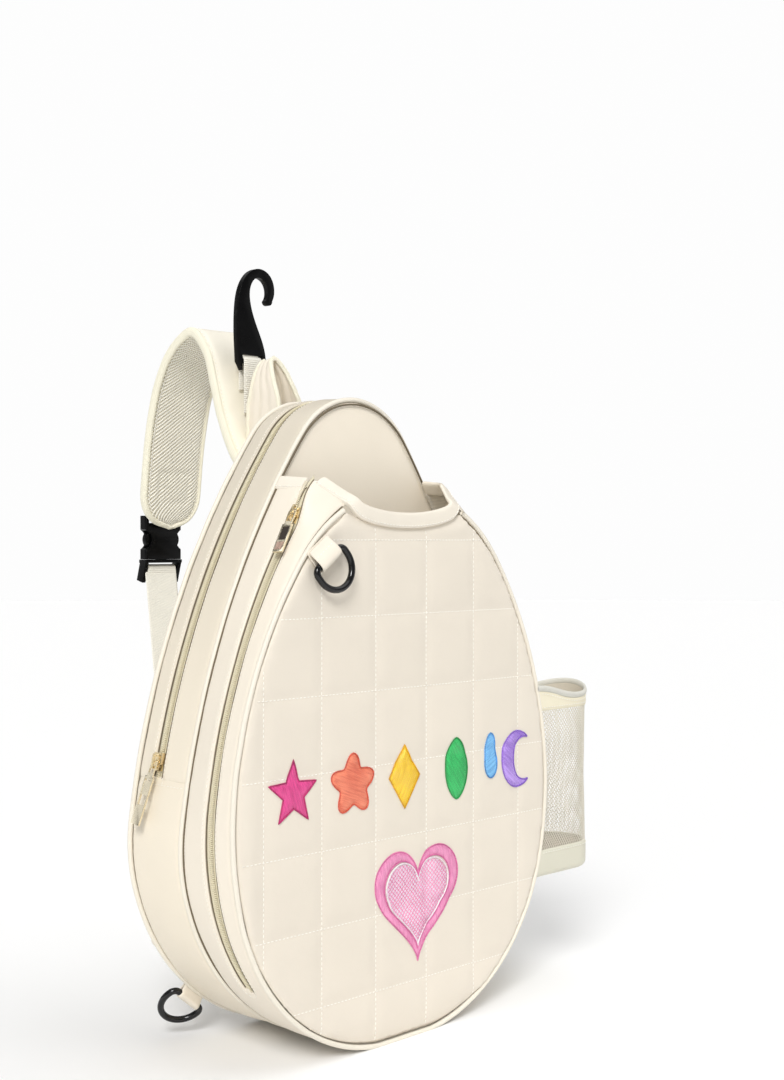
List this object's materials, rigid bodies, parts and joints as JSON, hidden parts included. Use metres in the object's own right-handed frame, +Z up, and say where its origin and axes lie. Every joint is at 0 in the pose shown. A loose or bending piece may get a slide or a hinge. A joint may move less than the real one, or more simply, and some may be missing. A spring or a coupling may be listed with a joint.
{
  "type": "racket backpack",
  "caption": "Egg-shaped padded sling bag for rackets with an open-topped front pocket, zipped main room, side bottle pocket, hook and one padded strap.",
  "frame": {"origin": "centre of the flat resting patch under the bag, at half the body's depth", "axes": "+X across the bag to the right of someone facing its front, +Y from the front to the wearer's back, +Z up"},
  "size_m": [0.4338, 0.3187, 0.6062],
  "materials": {
    "panel": "quilted cream faux leather",
    "gusset": "smooth cream faux leather",
    "piping": "cream faux leather cord",
    "lining": "woven polyester lining",
    "foam": "closed-cell foam sheet",
    "air_mesh": "3D air mesh",
    "net": "open polyester net",
    "binding": "woven binding tape",
    "elastic": "folded elastic binding",
    "webbing": "ribbed polyester webbing",
    "zip_tape": "woven zip tape",
    "zip_coil": "nylon coil",
    "gold": "polished pale gold plating",
    "black_plastic": "moulded acetal, satin",
    "black_ring": "black moulded ring",
    "thread_pink": "satin stitch",
    "thread_coral": "satin stitch",
    "thread_yellow": "satin stitch",
    "thread_green": "satin stitch",
    "thread_blue": "satin stitch",
    "thread_lilac": "satin stitch",
    "thread_rose": "satin stitch"
  },
  "bodies": {
    "bag": {"front_panel": "panel", "front_piping": "piping", "front_gusset": "gusset", "opening_hem": "gusset", "seam_piping": "piping", "divider_panel": "gusset", "slip_pocket": "lining", "main_gusset_bottom": "gusset", "main_zip_front_strip": "gusset", "main_zip_rear_strip": "gusset", "rear_piping": "piping", "back_panel": "gusset", "back_board": "foam", "back_pad": "air_mesh", "pocket_zip_tape": "zip_tape", "pocket_zip_coil": "zip_coil", "main_zip_tape": "zip_tape", "main_zip_coil": "zip_coil", "strap_pad": "gusset", "strap_mesh": "air_mesh", "strap_binding": "binding", "strap_root_patch": "gusset", "strap_end_webbing": "webbing", "buckle_socket": "black_plastic", "buckle_plug": "black_plastic", "strap_webbing": "webbing", "webbing_anchor": "gusset", "haul_loop": "gusset", "hook_tab": "webbing", "front_ring_tab": "gusset", "bottle_pocket_base": "gusset", "bottle_pocket_mesh": "net", "bottle_pocket_band": "gusset", "bottle_pocket_binding": "elastic", "motif_emblem": "thread_rose", "motif_star": "thread_pink", "motif_flower": "thread_coral", "motif_diamond": "thread_yellow", "motif_leaf": "thread_green", "motif_drop": "thread_blue", "motif_crescent": "thread_lilac", "low_ring_tab_left": "gusset", "low_ring_tab_right": "gusset"},
    "pocket_slider": {"pocket_zip_slider": "gold"},
    "pocket_pull": {"pocket_zip_pull": "gold"},
    "main_slider": {"main_zip_slider": "gold"},
    "main_pull": {"main_zip_pull": "gold"},
    "hook": {"fence_hook": "black_plastic"},
    "front_ring": {"front_d_ring": "black_ring"},
    "low_ring_left": {"low_d_ring_left": "black_ring"},
    "low_ring_right": {"low_d_ring_right": "black_ring"},
    "arm_left": {"buckle_arm_left": "black_plastic"},
    "arm_right": {"buckle_arm_right": "black_plastic"}
  },
  "joints": [
    {"name": "pocket_zip_travel", "type": "hinge", "parent": "bag", "child": "pocket_slider", "pos_m": [0.27461, -0.034, 0.13485], "axis": [0, -1, 0], "range_deg": [0, 26]},
    {"name": "pocket_pull_swing", "type": "hinge", "parent": "pocket_slider", "child": "pocket_pull", "pos_m": [-0.09647, -0.03478, 0.39898], "axis": [-0.2207, 0.9737, -0.0561], "range_deg": [0, 120]},
    {"name": "main_zip_travel", "type": "hinge", "parent": "bag", "child": "main_slider", "pos_m": [0.44886, 0.032, 0.08827], "axis": [0, 1, 0], "range_deg": [0, 23]},
    {"name": "main_pull_swing", "type": "hinge", "parent": "main_slider", "child": "main_pull", "pos_m": [-0.16966, 0.032, 0.21908], "axis": [0.0288, 0.9903, 0.1362], "range_deg": [0, 120]},
    {"name": "hook_tilt", "type": "hinge", "parent": "bag", "child": "hook", "pos_m": [0, 0.12, 0.528], "axis": [1, 0, 0], "range_deg": [-10, 40]},
    {"name": "front_ring_swing", "type": "hinge", "parent": "bag", "child": "front_ring", "pos_m": [-0.089, -0.0644, 0.3655], "axis": [0.809, 0, 0.5878], "range_deg": [-150, 12]},
    {"name": "low_ring_left_swing", "type": "hinge", "parent": "bag", "child": "low_ring_left", "pos_m": [-0.1155, 0.06, 0.0305], "axis": [0.7771, 0, -0.6293], "range_deg": [-110, 50]},
    {"name": "low_ring_right_swing", "type": "hinge", "parent": "bag", "child": "low_ring_right", "pos_m": [0.1155, 0.06, 0.0305], "axis": [0.7771, 0, 0.6293], "range_deg": [-110, 50]},
    {"name": "arm_left_press", "type": "hinge", "parent": "bag", "child": "arm_left", "pos_m": [-0.0138, 0.2395, 0.3631], "axis": [0, 1, 0], "range_deg": [0, 7], "stiffness_Nm_per_rad": 0.05},
    {"name": "arm_right_press", "type": "hinge", "parent": "bag", "child": "arm_right", "pos_m": [0.0138, 0.2395, 0.3631], "axis": [0, 1, 0], "range_deg": [-7, 0], "stiffness_Nm_per_rad": 0.05}
  ],
  "couplings": [
    {"joint": "arm_right_press", "follows": "arm_left_press", "ratio": -1}
  ]
}
